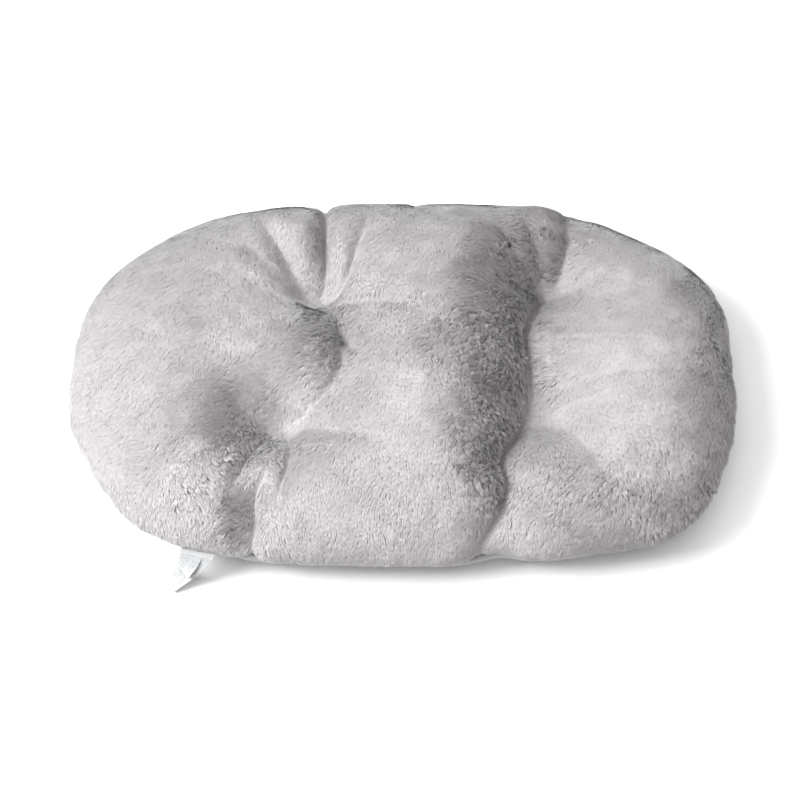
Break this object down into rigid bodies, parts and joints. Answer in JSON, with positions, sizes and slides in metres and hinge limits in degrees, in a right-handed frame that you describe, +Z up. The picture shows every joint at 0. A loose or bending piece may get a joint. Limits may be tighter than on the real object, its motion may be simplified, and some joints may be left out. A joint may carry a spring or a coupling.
{
  "type": "pet cushion bed",
  "caption": "Oval tufted pet cushion with a short-pile plush top, a woven underside, fibre filling and satin labels in the seam.",
  "frame": {"origin": "centre of the flat patch of the underside that rests on the floor", "axes": "+X along the cushion's length, +Y away from the edge with the labels, +Z up"},
  "size_m": [0.6502, 0.4221, 0.0981],
  "materials": {
    "plush": "short brushed pile",
    "underside_cloth": "plain weave",
    "filling": "loose polyester fibre",
    "thread": "spun polyester thread",
    "label": "satin"
  },
  "bodies": {
    "cushion": {"plush_top_panel": "plush", "underside_panel": "underside_cloth", "fibre_filling": "filling", "seam_stitching": "thread", "opening_stitching": "thread", "tuft_tie_back_left": "thread", "tuft_tie_back_right": "thread", "tuft_tie_front_left": "thread", "tuft_tie_front_right": "thread"},
    "labels": {"care_label": "label", "size_label": "label"}
  },
  "joints": [
    {"name": "label_flap", "type": "hinge", "parent": "cushion", "child": "labels", "pos_m": [-0.18224, -0.19425, 0.036], "axis": [-0.9718, 0.236, 0], "range_deg": [0, 140]}
  ]
}
